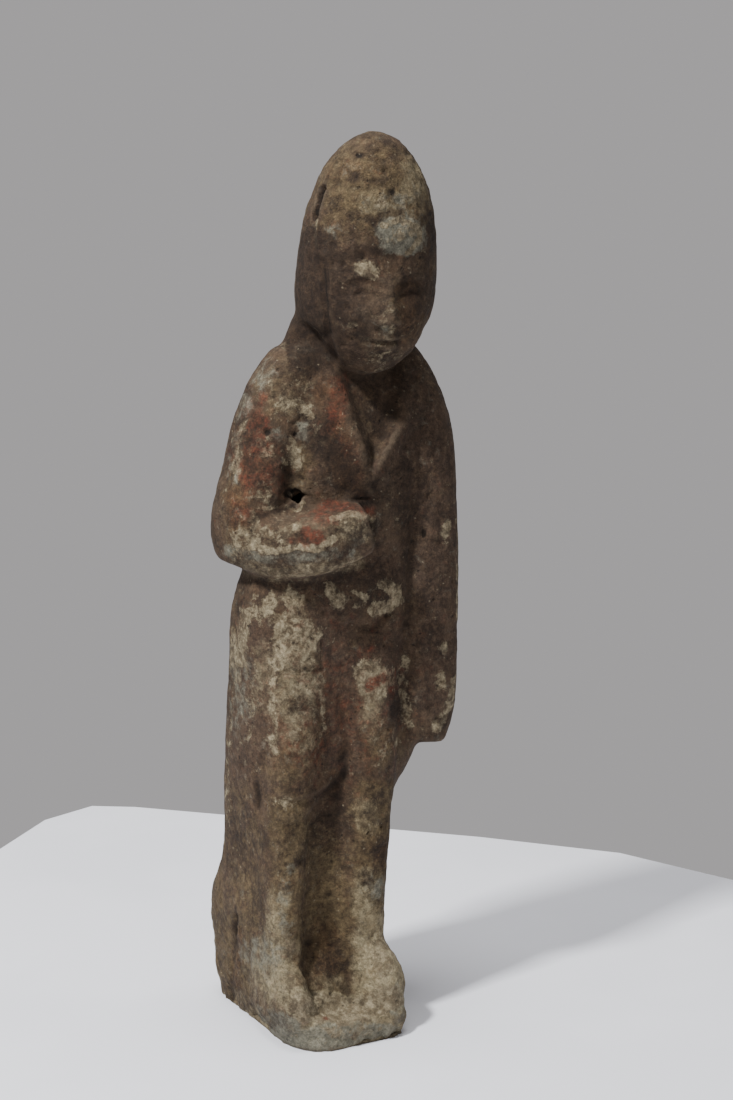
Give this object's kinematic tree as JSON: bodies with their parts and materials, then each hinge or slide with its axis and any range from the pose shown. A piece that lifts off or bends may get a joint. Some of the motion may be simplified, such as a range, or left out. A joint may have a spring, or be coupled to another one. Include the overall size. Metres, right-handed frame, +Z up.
{
  "type": "tomb attendant figure",
  "caption": "Standing earthenware attendant in a tall cap and long robe, one forearm across the waist and one arm hidden in a hanging sleeve, on a thin moulded base.",
  "frame": {"origin": "under the middle of the whole figure's outer box, on the surface it stands on", "axes": "+Z up along the figure's height; the figure faces -Y, and its own left is +X"},
  "size_m": [0.0706, 0.0638, 0.25],
  "materials": {
    "earthenware": "matt, weathered"
  },
  "bodies": {
    "root": {"attendant_figure": "earthenware"}
  },
  "joints": []
}
